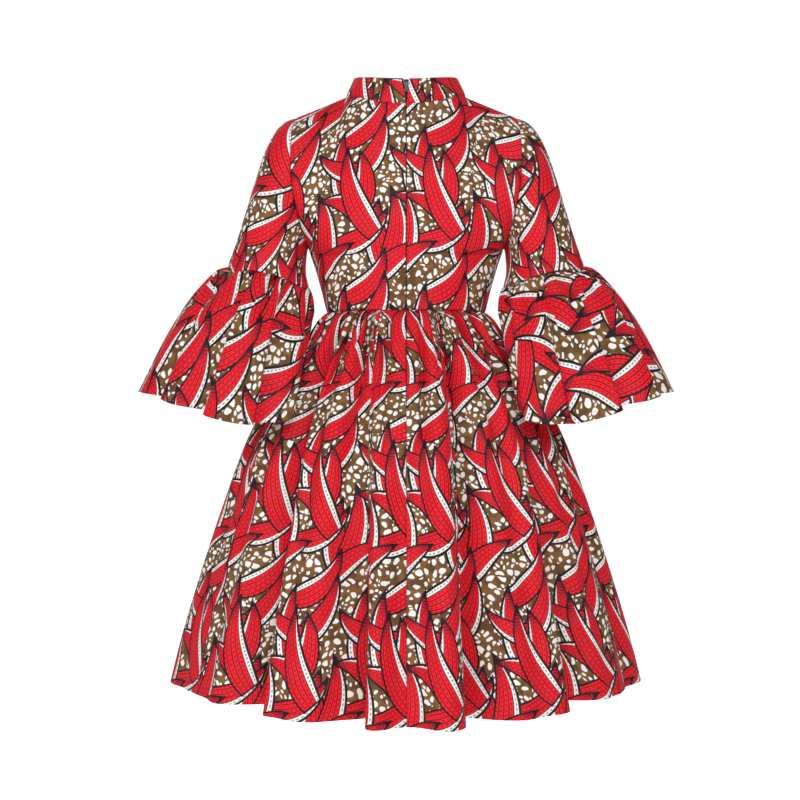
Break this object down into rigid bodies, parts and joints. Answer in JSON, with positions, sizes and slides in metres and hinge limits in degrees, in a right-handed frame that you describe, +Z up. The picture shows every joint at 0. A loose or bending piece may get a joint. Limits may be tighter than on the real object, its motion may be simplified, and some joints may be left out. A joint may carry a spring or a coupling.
{
  "type": "wax print dress",
  "caption": "Knee-length dress with stand collar, bell ruffle sleeves, gathered skirt and back zip, in a leafy wax print",
  "frame": {"origin": "midway between the shoulders at the base of the neck, where the wearer holds the dress up", "axes": "+Z up along the dress, -Y towards the wearer's back, where the zip is, +X towards the wearer's right"},
  "size_m": [0.8729, 0.6199, 1.0397],
  "materials": {
    "wax_print_cotton": "red leaves, brown ground with white pebbles, black outlines, slight sheen",
    "zip_metal": "black lacquer"
  },
  "bodies": {
    "dress": {"bodice_back_left": "wax_print_cotton", "bodice_back_right": "wax_print_cotton", "bodice_front": "wax_print_cotton", "collar": "wax_print_cotton", "sleeve_left": "wax_print_cotton", "sleeve_right": "wax_print_cotton", "ruffle_left": "wax_print_cotton", "ruffle_right": "wax_print_cotton", "skirt_back_left": "wax_print_cotton", "skirt_back_right": "wax_print_cotton", "skirt_front": "wax_print_cotton", "zip_slider": "zip_metal"},
    "zip_pull": {"zip_pull": "zip_metal"}
  },
  "joints": [
    {"name": "zip_pull_swing", "type": "hinge", "parent": "dress", "child": "zip_pull", "pos_m": [0, -0.08266, 0.01594], "axis": [-1, 0, 0], "range_deg": [0, 160]}
  ]
}
